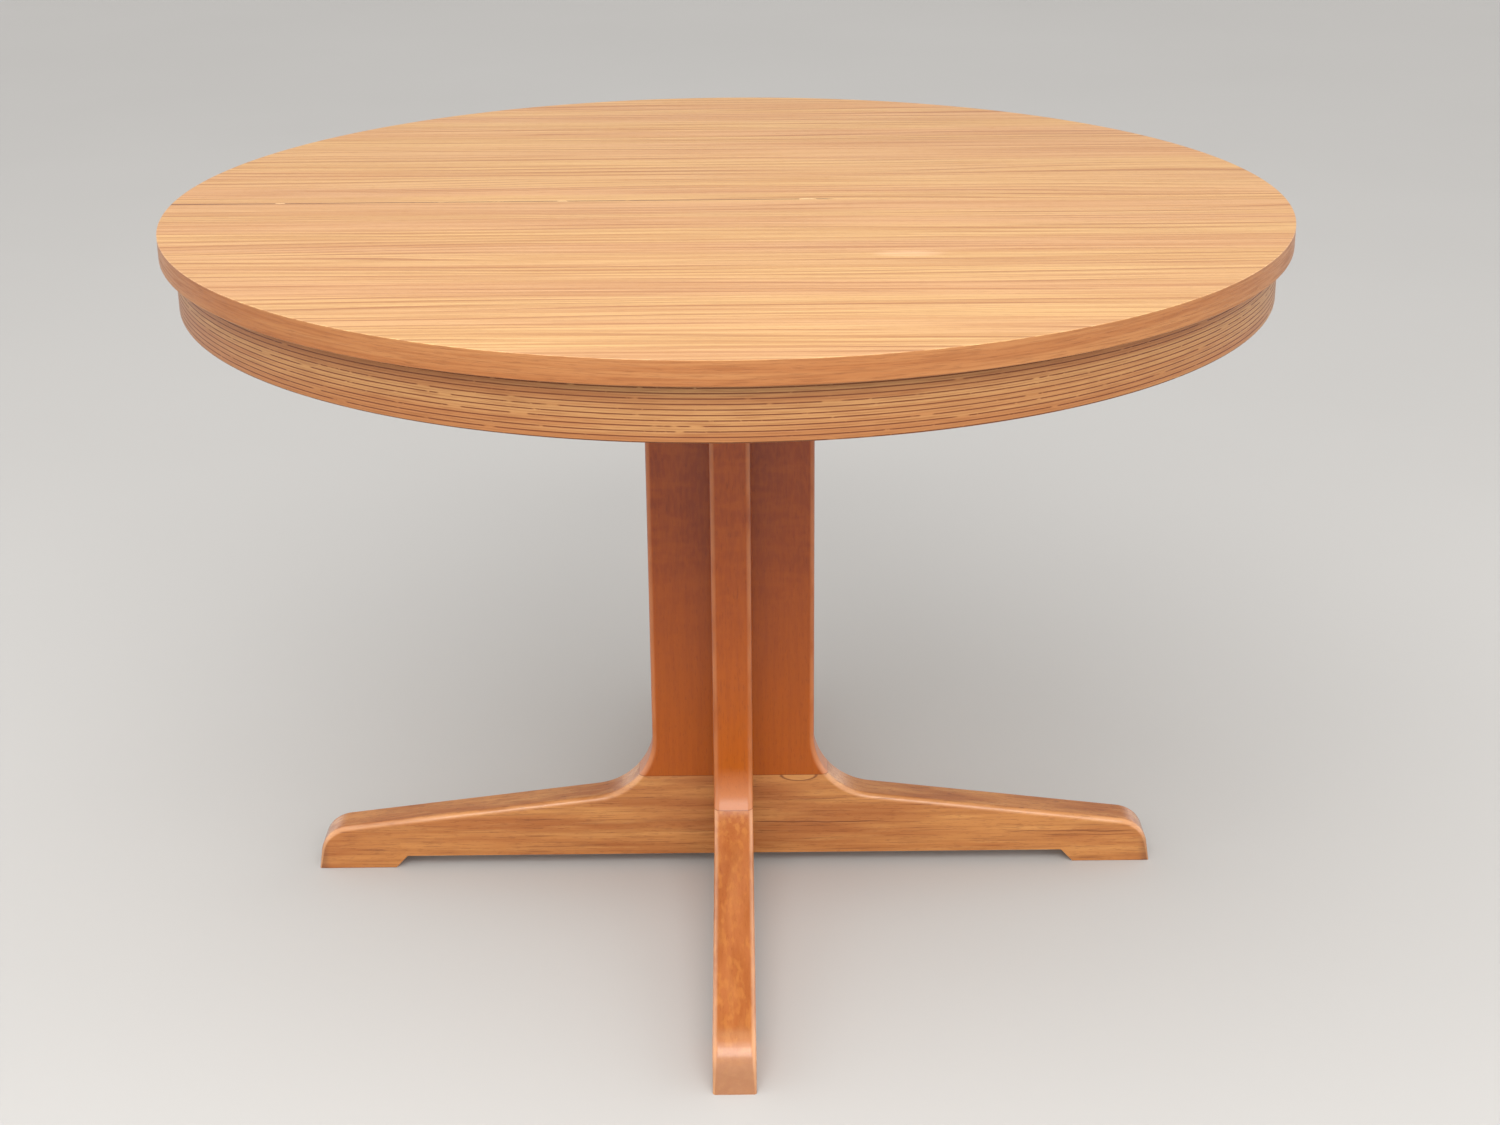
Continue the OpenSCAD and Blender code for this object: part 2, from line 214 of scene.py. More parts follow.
class Surface:
    """The nodes of one material, with a short call for each kind that the woods are made of."""

    def __init__(self, name, turn=None):
        """The grain comes from the mesh, or else from the place, turned so that the grain is along X."""
        self.material = bpy.data.materials.new(name)
        self.material.use_nodes = True
        self.tree = self.material.node_tree
        self.shader = self.tree.nodes["Principled BSDF"]
        if turn is None:
            self.grain = self.add("ShaderNodeAttribute", attribute_name="grain").outputs["Vector"]
        else:
            place = self.add("ShaderNodeTexCoord").outputs["Object"]
            turned = self.add("ShaderNodeMapping", {"Vector": place, "Rotation": turn})
            self.grain = turned.outputs["Vector"]

    def add(self, kind, inputs=None, **settings):
        """A new node of a kind, with its settings made and its inputs fed."""
        node = self.tree.nodes.new(kind)
        for key, value in settings.items():
            setattr(node, key, value)
        for key, value in (inputs or {}).items():
            self.feed(node.inputs[key], value)
        return node

    def feed(self, socket, value):
        """Links a socket to another node's output, or gives it a value."""
        if isinstance(value, bpy.types.NodeSocket):
            self.tree.links.new(value, socket)
        else:
            socket.default_value = value

    def math(self, operation, first, second=0.0, third=0.0):
        node = self.add("ShaderNodeMath", {0: first, 1: second, 2: third}, operation=operation)
        return node.outputs["Value"]

    def parts(self):
        """The place along, across and into the grain, as three numbers."""
        split = self.add("ShaderNodeSeparateXYZ", {"Vector": self.grain})
        return split.outputs["X"], split.outputs["Y"], split.outputs["Z"]

    def vector(self, x, y, z=0.0):
        return self.add("ShaderNodeCombineXYZ", {"X": x, "Y": y, "Z": z}).outputs["Vector"]

    def noise(self, vector, detail=2.0, roughness=0.5):
        inputs = {"Vector": vector, "Scale": 1.0, "Detail": detail, "Roughness": roughness}
        return self.add("ShaderNodeTexNoise", inputs).outputs["Fac"]

    def scaled(self, scale):
        """The place, multiplied by a factor along each axis."""
        place = self.add("ShaderNodeVectorMath", {0: self.grain, 1: scale}, operation="MULTIPLY")
        return place.outputs["Vector"]

    def streaks(self, length, width, detail=2.0, shift=0.0):
        """Noise whose marks are about this long along the grain and this wide across it."""
        scale = (1 / length, 1 / width, 1 / width)
        place = self.add("ShaderNodeVectorMath", {0: self.grain, 1: scale, 2: (shift, shift, shift)},
                         operation="MULTIPLY_ADD")
        return self.noise(place.outputs["Vector"], detail)

    def step(self, value, low, high):
        """0 below low and 1 above high, or the other way round if low is the higher one."""
        inputs = {"Value": value, "From Min": low, "From Max": high}
        return self.add("ShaderNodeMapRange", inputs, interpolation_type="SMOOTHSTEP").outputs["Result"]

    def times(self, *values):
        """All the values multiplied."""
        product = values[0]
        for value in values[1:]:
            product = self.math("MULTIPLY", product, value)
        return product

    def mix(self, factor, first, second):
        """Two colours mixed. A factor of 1 gives the second. The node has sockets for other kinds of value
        as well, so the ones for colours are taken by their numbers."""
        node = self.add("ShaderNodeMix", {0: factor, 6: first, 7: second}, data_type="RGBA")
        return node.outputs[2]

    def stain(self, colour, other, *factors):
        """A colour with some of another one. The factors multiplied say how much."""
        return self.mix(self.times(*factors), colour, other)

    def finish(self, colour, roughness, height=None, depth=0.0001, specular=0.5, coat=0.0):
        """Joins the colour, the roughness and a relief of this depth to the shader."""
        self.feed(self.shader.inputs["Base Color"], colour)
        self.feed(self.shader.inputs["Roughness"], roughness)
        self.shader.inputs["Specular IOR Level"].default_value = specular
        self.shader.inputs["Coat Weight"].default_value = coat
        self.shader.inputs["Coat Roughness"].default_value = lacquer_roughness
        if height is not None:
            bump = self.add("ShaderNodeBump", {"Height": height, "Distance": depth})
            self.feed(self.shader.inputs["Normal"], bump.outputs["Normal"])
        return self.material


# Colours of the veneer, the edge band and the apron
TOP_LIGHT = shade(200, 158, 104)
TOP_PINK = shade(194, 147, 101)
TOP_TAN = shade(171, 119, 71)
TOP_BROWN = shade(139, 81, 39)
TOP_PORE = shade(141, 90, 49)
SEAM_DIRT = shade(74, 36, 14)
SCUFF_PALE = shade(236, 200, 172)
BARE_LIGHT = shade(236, 206, 164)
BARE_DARK = shade(214, 172, 122)
BAND_LIGHT = shade(162, 108, 63)
BAND_DARK = shade(151, 93, 50)
BAND_PATCH = shade(164, 113, 72)
BAND_STREAK = shade(121, 65, 29)
BAND_PORE = shade(81, 39, 14)
APRON_LIGHT = shade(167, 121, 75)
APRON_DARK = shade(154, 101, 59)
APRON_STREAK = shade(127, 74, 37)
# The pore colour also paints the shade along the apron's top
APRON_PORE_AND_SHADE = shade(96, 44, 15)

# Colours of the column's boards
BOARD_LIGHT = shade(138, 57, 0)
# The low colour is painted light on the lower part of the boards
BOARD_LOW_PAINTED_LIGHT = shade(171, 87, 1)
BOARD_DARK = shade(128, 49, 0)
BOARD_GLOW = shade(158, 74, 0)
BOARD_STREAK = shade(95, 29, 0)
BOARD_FLECK = shade(70, 20, 0)
# The edge colour paints both pale wear on the edges and painted highlights there and in the cove
BOARD_EDGE_WEAR_AND_HIGHLIGHT = shade(192, 128, 84)
BOARD_WARM = shade(164, 81, 2)

# Colours of the feet
FOOT_LIGHT = shade(180, 119, 62)
FOOT_DARK = shade(159, 95, 44)
FRONT_LIGHT = shade(173, 104, 59)
FRONT_DARK = shade(162, 93, 48)
FOOT_PALE = shade(208, 154, 89)
FOOT_WAVE = shade(195, 128, 67)
FOOT_STREAK = shade(130, 68, 24)
FOOT_LINE = shade(84, 33, 10)
FOOT_FLECK = shade(95, 45, 17)
# The rub colour paints both the rubbed end and a painted highlight there
FOOT_RUB_AND_HIGHLIGHT = shade(172, 126, 90)
# The edge colour paints pale wear and a painted highlight along the round-overs
FOOT_EDGE_WEAR_AND_HIGHLIGHT = shade(216, 161, 113)
FOOT_END = shade(96, 60, 40)

# Colours of the inner pieces
BEECH_LIGHT = shade(222, 186, 142)
BEECH_DARK = shade(206, 164, 118)
BEECH_STREAK = shade(190, 144, 98)
BEECH_FLECK = shade(158, 108, 66)
CHIP_LIGHT = shade(196, 164, 118)
CHIP_DARK = shade(156, 120, 78)
CHIP_BARK = shade(112, 78, 48)
CHIP_FIBRE = shade(214, 188, 146)
STEEL_LIGHT = shade(206, 206, 208)
STEEL_DARK = shade(150, 150, 154)

# A dull mark on the top and a knot in a foot: the place along and across the grain, and the half sizes
SCUFF = (0.165, -0.222, 0.036, 0.013)
KNOT = (0.0705, glue_z, 0.0190, 0.0070)

# Long dark lines in a foot: where each starts and ends, its height, its thickness and how strong it is
FOOT_MARKS = [
    (0.015, 0.170, 0.0520, 0.0009, 0.75),
    (0.290, 0.450, 0.0375, 0.0008, 0.65),
    (0.330, 0.452, 0.0330, 0.0007, 0.55),
    (0.060, 0.250, 0.0780, 0.0006, 0.35),
]


def growth(wood, pitch, wander, reach, breadth, shift):
    """The years' growth, a pitch apart: the place inside each year, from 0 to 1, and the count of years.
    The years wander, in stretches as long as reach and as wide as breadth, so that some close into long
    lenses."""
    _, across, _ = wood.parts()
    drift = wood.times(wood.streaks(reach, breadth, detail=1.0, shift=shift), wander)
    phase = wood.math("ADD", wood.math("DIVIDE", across, pitch), drift)
    return wood.math("FRACT", phase), phase


def rubbed_and_highlit_edge(wood):
    """Two factors: where a rounded edge has been rubbed and carries a painted highlight, in patches along it,
    and where the outer face is.
    """
    place = wood.add("ShaderNodeAttribute", attribute_name="edge").outputs["Vector"]
    split = wood.add("ShaderNodeSeparateXYZ", {"Vector": place})
    patches = wood.step(wood.streaks(0.060, 0.030, detail=3.0, shift=8.0), 0.25, 0.60)
    rounded = wood.step(split.outputs["X"], 0.30, 0.95)
    # The middle of each round-over, paler in patches: partly wear and partly a painted highlight
    rubbed = wood.times(rounded, wood.math("MULTIPLY_ADD", patches, 0.75, 0.25))
    return rubbed, split.outputs["Y"]


def mark(wood, start, end, height, thickness):
    """1 on a long thin mark in a side face, from start to end at about this height, and 0 elsewhere."""
    along, across, into = wood.parts()
    waver = wood.noise(wood.vector(wood.times(along, 14.0), height))
    bend = wood.math("MULTIPLY_ADD", waver, 0.006, -0.003)
    offset = wood.math("ABSOLUTE", wood.math("ADD", wood.math("SUBTRACT", across, height), bend))
    inside = wood.times(wood.step(along, start, start + 0.02), wood.step(along, end, end - 0.03))
    on_side = wood.step(wood.math("ABSOLUTE", into), half_t - 0.003, half_t - 0.001)
    return wood.times(wood.step(offset, thickness, thickness * 0.3), inside, on_side)


def spot(wood, along_at, across_at, half_length, half_width):
    """Squared distance from an oval's middle, which is 1 on the oval itself."""
    along, across, _ = wood.parts()
    x = wood.math("DIVIDE", wood.math("SUBTRACT", along, along_at), half_length)
    y = wood.math("DIVIDE", wood.math("SUBTRACT", across, across_at), half_width)
    return wood.math("ADD", wood.times(x, x), wood.times(y, y))


def top_oak():
    """The top's veneer: honey-coloured, with fine straight grain, faint pinkish bands and a dark seam."""
    wood = Surface("Oak veneer")
    along, across, _ = wood.parts()
    year, _ = growth(wood, 0.0120, 6.0, 0.90, 0.080, 4.0)
    late = wood.times(wood.step(year, 0.45, 0.95), wood.step(year, 1.0, 0.94))
    thin_year, _ = growth(wood, 0.0056, 5.0, 0.60, 0.050, 8.0)
    thin_late = wood.times(wood.step(thin_year, 0.55, 0.92), wood.step(thin_year, 1.0, 0.90))
    strength = wood.step(wood.streaks(0.50, 0.016, detail=2.0, shift=9.0), 0.36, 0.62)
    broad = wood.step(wood.streaks(1.3, 0.052, detail=2.0, shift=1.0), 0.36, 0.64)
    middle = wood.step(wood.streaks(0.34, 0.0062, detail=3.0, shift=2.0), 0.45, 0.62)
    fine = wood.step(wood.streaks(0.14, 0.0026, detail=2.0, shift=3.0), 0.48, 0.66)
    pores = wood.step(wood.streaks(0.016, 0.0007, detail=1.0, shift=5.0), 0.58, 0.72)

    colour = wood.mix(broad, TOP_LIGHT, TOP_PINK)
    colour = wood.stain(colour, TOP_TAN, middle, 0.50)
    colour = wood.stain(colour, TOP_BROWN, late, strength, 0.72)
    colour = wood.stain(colour, TOP_BROWN, thin_late, 0.30)
    colour = wood.stain(colour, TOP_TAN, fine, 0.46)
    colour = wood.stain(colour, TOP_PORE, pores, 0.30)

    # Dirt in the seam, from the left edge to a little past the middle, where the halves close up
    offset = wood.math("ABSOLUTE", across)
    beside = wood.step(offset, 0.0013, 0.0007)
    left_part = wood.step(along, seam_tight_x, seam_tight_x - 0.015)
    broken = wood.step(wood.noise(wood.vector(wood.times(along, 55.0), 0.0), 3.0), 0.30, 0.42)
    seam = wood.times(beside, left_part, wood.math("MULTIPLY_ADD", broken, 0.75, 0.25))
    colour = wood.stain(colour, SEAM_DIRT, seam)

    # A dull, pale mark where the lacquer has been rubbed
    away = spot(wood, *SCUFF)
    scuff = wood.times(wood.step(away, 1.2, 0.0), wood.streaks(0.03, 0.004, shift=6.0))
    colour = wood.stain(colour, SCUFF_PALE, scuff, 0.4)

    rough = wood.math("MULTIPLY_ADD", wood.streaks(0.20, 0.09, detail=4.0, shift=7.0), 0.14, 0.32)
    rough = wood.math("ADD", rough, wood.times(pores, 0.10))
    rough = wood.math("ADD", rough, wood.times(scuff, 0.25))
    relief = wood.math("SUBTRACT", 1.0, wood.math("ADD", wood.times(pores, 0.7), wood.times(late, 0.3)))
    return wood.finish(colour, rough, relief, 0.00006)


def bare_oak():
    """Oak with its lacquer broken away, in the chips beside the seam."""
    wood = Surface("Bare oak")
    fibre = wood.streaks(0.006, 0.0004, detail=3.0)
    colour = wood.mix(fibre, BARE_LIGHT, BARE_DARK)
    return wood.finish(colour, wood.math("MULTIPLY_ADD", fibre, 0.2, 0.65), fibre, 0.0001)


def band_oak():
    """The solid band round the edge: orange-brown, with fine plain grain that runs round."""
    wood = Surface("Oak edge band")
    broad = wood.step(wood.streaks(0.30, 0.010, detail=2.0, shift=1.0), 0.35, 0.65)
    middle = wood.step(wood.streaks(0.060, 0.0020, detail=3.0, shift=2.0), 0.44, 0.62)
    pores = wood.step(wood.streaks(0.016, 0.0009, detail=1.0, shift=3.0), 0.56, 0.68)
    patches = wood.step(wood.streaks(0.50, 0.30, detail=3.0, shift=4.0), 0.35, 0.65)

    colour = wood.mix(broad, BAND_LIGHT, BAND_DARK)
    colour = wood.stain(colour, BAND_PATCH, patches, 0.35)
    colour = wood.stain(colour, BAND_STREAK, middle, 0.34)
    colour = wood.stain(colour, BAND_PORE, pores, 0.20)
    rough = wood.math("MULTIPLY_ADD", middle, 0.08, 0.34)
    relief = wood.math("SUBTRACT", 1.0, wood.times(pores, 0.8))
    return wood.finish(colour, rough, relief, 0.00008, specular=0.25)


def apron_oak():
    """The apron: tan, with rows of dark pores that run round, and painted shade where it meets the top."""
    wood = Surface("Oak apron")
    along, across, _ = wood.parts()
    year, phase = growth(wood, 0.0045, 0.5, 0.90, 0.110, 4.0)
    row = wood.math("FLOOR", phase)
    own = wood.vector(wood.math("DIVIDE", along, 0.030), wood.times(row, 7.31))
    dashes = wood.step(wood.noise(own, 2.0), 0.31, 0.39)
    ragged = wood.step(wood.streaks(0.008, 0.0030, detail=2.0, shift=2.0), 0.22, 0.38)
    off_middle = wood.math("ABSOLUTE", wood.math("SUBTRACT", year, 0.5))
    bold = wood.times(wood.step(off_middle, 0.155, 0.065), dashes, ragged)
    off_edge = wood.math("SUBTRACT", 0.5, off_middle)
    faint = wood.times(wood.step(off_edge, 0.13, 0.05), wood.step(wood.noise(own, 3.0), 0.56, 0.46))
    broad = wood.step(wood.streaks(0.40, 0.012, detail=2.0, shift=1.0), 0.38, 0.62)
    fine = wood.step(wood.streaks(0.040, 0.0013, detail=2.0, shift=3.0), 0.45, 0.66)
    # Painted shade: the top few millimetres darkened with the pore colour, where the top's edge shades the
    # apron
    corner = wood.step(across, apron_top_z - 0.004, apron_top_z - 0.001)

    colour = wood.mix(broad, APRON_LIGHT, APRON_DARK)
    colour = wood.stain(colour, APRON_STREAK, fine, 0.38)
    colour = wood.stain(colour, APRON_PORE_AND_SHADE, faint, 0.22)
    colour = wood.stain(colour, APRON_PORE_AND_SHADE, bold, 0.95)
    colour = wood.stain(colour, APRON_PORE_AND_SHADE, corner, 0.55)
    rough = wood.math("MULTIPLY_ADD", bold, 0.15, 0.36)
    relief = wood.math("SUBTRACT", 1.0, wood.math("MULTIPLY_ADD", bold, 0.8, wood.times(fine, 0.2)))
    return wood.finish(colour, rough, relief, 0.00018, specular=0.3)


def board_wood():
    """The column's boards: red-brown, smooth, with mottled streaks, short dark flecks and faint ripples."""
    wood = Surface("Board wood")
    blotch = wood.step(wood.streaks(0.16, 0.050, detail=4.0, shift=2.0), 0.30, 0.70)
    middle = wood.step(wood.streaks(0.075, 0.0042, detail=3.0, shift=2.0), 0.42, 0.66)
    mottle = wood.step(wood.streaks(0.012, 0.0030, detail=3.0, shift=6.0), 0.40, 0.62)
    flecks = wood.step(wood.streaks(0.009, 0.0012, detail=1.0, shift=3.0), 0.60, 0.70)
    ripple = wood.step(wood.streaks(0.014, 0.050, detail=3.0, shift=4.0), 0.46, 0.62)
    cloud = wood.step(wood.streaks(0.060, 0.045, detail=4.0, shift=9.0), 0.48, 0.66)

    along, _, _ = wood.parts()
    colour = wood.mix(blotch, BOARD_LIGHT, BOARD_DARK)
    # Painted light: the lower part of each board made lighter and more golden, for the light that falls there
    painted_low_light = wood.step(along, 0.48, 0.12)
    colour = wood.stain(colour, BOARD_LOW_PAINTED_LIGHT, painted_low_light, 0.65)
    colour = wood.stain(colour, BOARD_WARM, cloud, 0.14)
    colour = wood.stain(colour, BOARD_GLOW, ripple, 0.36)
    colour = wood.stain(colour, BOARD_GLOW, mottle, 0.32)
    colour = wood.stain(colour, BOARD_STREAK, middle, 0.12)
    colour = wood.stain(colour, BOARD_FLECK, flecks, 0.20)
    worn_and_highlit, outer = rubbed_and_highlit_edge(wood)
    # Painted highlight: the outer face of the cove, just above the glue line, made paler
    painted_cove_highlight = wood.step(along, cove_c.y, cove_c.y - 0.04)
    colour = wood.stain(colour, BOARD_EDGE_WEAR_AND_HIGHLIGHT, painted_cove_highlight, outer, 0.55)
    # Rounded edges paler: partly wear, partly a painted highlight
    colour = wood.stain(colour, BOARD_EDGE_WEAR_AND_HIGHLIGHT, worn_and_highlit, 0.40)
    glue_line = wood.step(along, glue_z + 0.0012, glue_z + 0.0003)
    colour = wood.stain(colour, BOARD_FLECK, glue_line, 0.5)
    rough = wood.math("MULTIPLY_ADD", blotch, 0.08, wood.math("MULTIPLY_ADD", worn_and_highlit, 0.10, 0.34))
    relief = wood.math("SUBTRACT", 1.0, wood.times(flecks, 0.8))
    return wood.finish(colour, rough, relief, 0.00006, specular=0.1, coat=0.7)


def foot_wood(name, light, dark, figure, contrast, rubbed):
    """A foot's wood: golden brown, with darker streaks along it and duller end grain. The figure makes it
    wavy, and rubbed says how much paler its end is made, for rubbing by shoes and a painted highlight."""
    wood = Surface(name)
    along, _, _ = wood.parts()
    broad = wood.step(wood.streaks(0.20, 0.020, detail=3.0, shift=1.0), 0.36, 0.64)
    pale = wood.step(wood.streaks(0.13, 0.0085, detail=4.0, shift=6.0), 0.48, 0.68)
    middle = wood.step(wood.streaks(0.11, 0.0042, detail=4.0, shift=2.0), 0.44, 0.68)
    lines = wood.step(wood.streaks(0.060, 0.0016, detail=2.0, shift=3.0), 0.60, 0.68)
    flecks = wood.step(wood.streaks(0.009, 0.0011, detail=1.0, shift=4.0), 0.58, 0.68)
    waves = wood.step(wood.streaks(0.022, 0.0060, detail=2.0, shift=5.0), 0.46, 0.66)

    colour = wood.mix(broad, light, dark)
    colour = wood.stain(colour, FOOT_PALE, pale, 0.45 * contrast)
    colour = wood.stain(colour, FOOT_WAVE, waves, figure)
    colour = wood.stain(colour, FOOT_STREAK, middle, 0.50 * contrast)
    colour = wood.stain(colour, FOOT_LINE, lines, 0.60 * contrast)
    colour = wood.stain(colour, FOOT_FLECK, flecks, 0.38 * contrast)
    end_grain = wood.step(along, foot_reach - 0.014, foot_reach - 0.004)
    colour = wood.stain(colour, FOOT_END, end_grain, 0.5)
    # The end made paler in patches: partly lacquer rubbed by shoes, partly a painted highlight
    scraped = wood.math("MULTIPLY_ADD", wood.streaks(0.012, 0.010, detail=4.0, shift=7.0), 0.5, 0.5)
    kicked_and_highlit = wood.times(wood.step(along, foot_reach - 0.040, foot_reach - 0.024), scraped, rubbed)
    colour = wood.stain(colour, FOOT_RUB_AND_HIGHLIGHT, kicked_and_highlit)

    # Rounded edges paler: partly wear, partly a painted highlight
    worn_and_highlit, _ = rubbed_and_highlit_edge(wood)
    colour = wood.stain(colour, FOOT_EDGE_WEAR_AND_HIGHLIGHT, worn_and_highlit, 0.42)

    # Long dark lines in one foot
    for start, end, height, thickness, strength in FOOT_MARKS:
        line = mark(wood, start, end, height, thickness)
        colour = wood.stain(colour, FOOT_LINE, line, strength)

    # A knot that the saw has grazed leaves half a ring just under the glue line of the same foot
    ring = spot(wood, *KNOT)
    on_ring = wood.step(wood.math("ABSOLUTE", wood.math("SUBTRACT", ring, 1.0)), 0.28, 0.05)
    in_ring = wood.step(ring, 1.0, 0.6)
    colour = wood.stain(colour, FOOT_PALE, in_ring, 0.25)
    colour = wood.stain(colour, FOOT_LINE, on_ring, 0.65)

    rough = wood.math("MULTIPLY_ADD", broad, 0.08, wood.math("MULTIPLY_ADD", worn_and_highlit, 0.10, 0.34))
    relief = wood.math("SUBTRACT", 1.0, wood.math("MULTIPLY_ADD", flecks, 0.5, wood.times(lines, 0.5)))
    return wood.finish(colour, rough, relief, 0.00008, specular=0.1, coat=1.0)


def beech(name, turn):
    """Planed beech with no lacquer: pale, with short brown flecks."""
    wood = Surface(name, turn=turn)
    broad = wood.step(wood.streaks(0.30, 0.012, detail=3.0, shift=1.0), 0.34, 0.66)
    flecks = wood.step(wood.streaks(0.004, 0.0007, detail=1.0, shift=2.0), 0.56, 0.70)
    fine = wood.step(wood.streaks(0.06, 0.0014, detail=2.0, shift=3.0), 0.42, 0.66)
    colour = wood.mix(broad, BEECH_LIGHT, BEECH_DARK)
    colour = wood.stain(colour, BEECH_STREAK, fine, 0.35)
    colour = wood.stain(colour, BEECH_FLECK, flecks, 0.55)
    rough = wood.math("MULTIPLY_ADD", fine, 0.12, 0.58)
    relief = wood.math("SUBTRACT", 1.0, wood.times(flecks, 0.7))
    return wood.finish(colour, rough, relief, 0.00008)


def chipboard():
    """Pressed chips, each a little lighter or darker than the next."""
    board = Surface("Chipboard", turn=(0, 0, 0))
    sway = board.add("ShaderNodeTexNoise", {"Vector": board.grain, "Scale": 90.0, "Detail": 2.0})
    bend = {0: sway.outputs["Color"], 1: (0.012, 0.012, 0.012), 2: board.grain}
    bent = board.add("ShaderNodeVectorMath", bend, operation="MULTIPLY_ADD")
    chips = board.add("ShaderNodeTexVoronoi", {"Vector": bent.outputs["Vector"], "Scale": 420.0})
    tone = board.add("ShaderNodeSeparateColor", {"Color": chips.outputs["Color"]}).outputs["Red"]
    fibre = board.noise(board.scaled((900, 900, 900)), 3.0)
    colour = board.mix(tone, CHIP_LIGHT, CHIP_DARK)
    colour = board.stain(colour, CHIP_BARK, board.step(tone, 0.86, 0.92))
    colour = board.stain(colour, CHIP_FIBRE, fibre, 0.3)
    return board.finish(colour, board.math("MULTIPLY_ADD", fibre, 0.15, 0.74), tone, 0.00015)


def plain_steel():
    """Bright steel with fine marks and a little dullness."""
    steel = Surface("Screw steel", turn=(0, 0, 0))
    haze = steel.noise(steel.scaled((260, 260, 900)), 4.0)
    colour = steel.mix(haze, STEEL_LIGHT, STEEL_DARK)
    steel.shader.inputs["Metallic"].default_value = 1.0
    return steel.finish(colour, steel.math("MULTIPLY_ADD", haze, 0.25, 0.22), haze, 0.00004)


# ---- The top ----

# Chips in the seam: the place along it, half the length, how far it bites into the veneer, and on which half
CHIPS = [
    (-0.442, 0.0050, 0.0011, 1),
    (-0.421, 0.0030, 0.0008, -1),
    (-0.163, 0.0050, 0.0012, 1),
    (-0.148, 0.0035, 0.0010, -1),
    (0.070, 0.0040, 0.0010, -1),
    (0.080, 0.0085, 0.0017, 1),
]
CHIP_OUTLINE = (0.55, 0.9, 1.0, 0.7, 0.85, 0.45)    # depth at even steps along a chip, as shares of its bite
chip_steps = 3.2                                    # how many of those steps make half a chip's length
chip_margin = 1.3                                   # plain seam points keep this many half lengths away


def seam_place(x):
    """Distance of the veneer's edge from the middle of the seam, which closes up towards the right."""
    closed = min(max((x - seam_tight_x + closing_l / 2) / closing_l, 0.0), 1.0)
    return seam_half_gap * (1 - closed_share * closed)


def seam_points(half):
    """Places along the seam, from left to right, with how far each is chipped."""
    end_x = math.sqrt(top_r ** 2 - seam_half_gap ** 2)
    bites = {end_x * (2 * i / seam_steps - 1): 0.0 for i in range(1, seam_steps)}
    outline_middle = (len(CHIP_OUTLINE) - 1) / 2
    for middle, reach, bite, chipped_half in CHIPS:
        if chipped_half != half:
            continue
        bites = {x: depth for x, depth in bites.items() if abs(x - middle) > reach * chip_margin}
        bites[middle - reach] = 0.0
        bites[middle + reach] = 0.0
        for i, share in enumerate(CHIP_OUTLINE):
            bites[middle + reach * (i - outline_middle) / chip_steps] = bite * share
    return sorted(bites.items())


def half_veneer(half, materials):
    """Half of the top's veneer, with a fine arris all round."""
    start = math.asin(seam_half_gap / top_r)
    rim = [Vector((x, half * y, 0)) for x, y in arc((0, 0), top_r, start, math.pi - start, ring_steps)]
    into_rim = [-point.normalized() * arris for point in rim]
    into_rim[0] = Vector((-arris, half * arris, 0))
    into_rim[-1] = Vector((arris, half * arris, 0))
    drops = [arris] * len(rim)
    chipped = [False] * len(rim)
    for x, bite in seam_points(half):
        rim.append(Vector((x, half * seam_place(x), 0)))
        into_rim.append(Vector((0, half * max(bite, seam_arris), 0)))
        drops.append(chip_drop if bite else seam_arris)
        chipped.append(bite > 0)
    low = [(p.x, p.y, veneer_z) for p in rim]
    edge = [(p.x, p.y, top_z - drop) for p, drop in zip(rim, drops)]
    high = [(p.x + q.x, p.y + q.y, top_z) for p, q in zip(rim, into_rim)]
    faces = skin([low, edge, high])
    # The faces are two caps, then the wall up to the edge, and then the arris, which is bare at the chips
    size = len(rim)
    raw = [2 + size + i for i in range(size) if chipped[i] or chipped[(i + 1) % size]]
    points = low + edge + high
    grain = [(x, y, z) for x, y, z in points]
    side = "front" if half < 0 else "back"
    return piece(side + "_top_veneer", side + "_half", points, faces, grain,
                 [side + "_veneer"], materials, raw)


def half_ring(name, half, section, grain_r, node, material):
    """Half a ring, with flat ends at the seam. The section is the cut's outline, as radius and height."""
    side = "front" if half < 0 else "back"
    points = []
    grain = []
    for i in range(ring_steps + 1):
        for radius, z in section:
            start = math.asin(seam_half_gap / radius)
            turn = start + (math.pi - 2 * start) * i / ring_steps
            points.append((radius * math.cos(turn), half * radius * math.sin(turn), z))
            grain.append((half * grain_r * turn, z, radius))
    size = len(section)
    faces = skin([points[i * size:(i + 1) * size] for i in range(ring_steps + 1)])
    return piece(side + "_" + name, side + "_half", points, faces, grain,
                 [side + "_" + node], [material])


def band_section():
    corner = (top_r - band_ease, band_z + band_ease)
    return ([(band_in_r, veneer_z), (band_in_r, band_z)]
            + arc(corner, band_ease, -math.pi / 2, 0, band_ease_steps) + [(top_r, veneer_z)])


def apron_section():
    inner = (apron_in_r + apron_ease, apron_z + apron_ease)
    outer = (apron_r - apron_ease, apron_z + apron_ease)
    return ([(apron_in_r, apron_top_z)]
            + arc(inner, apron_ease, math.pi, 1.5 * math.pi, apron_ease_steps)
            + arc(outer, apron_ease, -math.pi / 2, 0, apron_ease_steps) + [(apron_r, apron_top_z)])


# ---- The legs ----

def glue_angle(radius):
    """Where an arc round the cove's centre crosses the glue line."""
    return math.pi + math.asin((cove_c.y - glue_z) / radius)


def board_rim(share):
    """Outer edge of a board, from the column's top down to the glue line, moved into the wood by a share of
    the round-over there. Each point comes with that round-over."""
    inset = edge_r * share
    cove = arc(cove_c, cove_r + inset, math.pi, glue_angle(cove_r + inset), board_cove_steps)
    return [(x, z, edge_r) for x, z in [(board_reach - inset, column_top)] + cove]


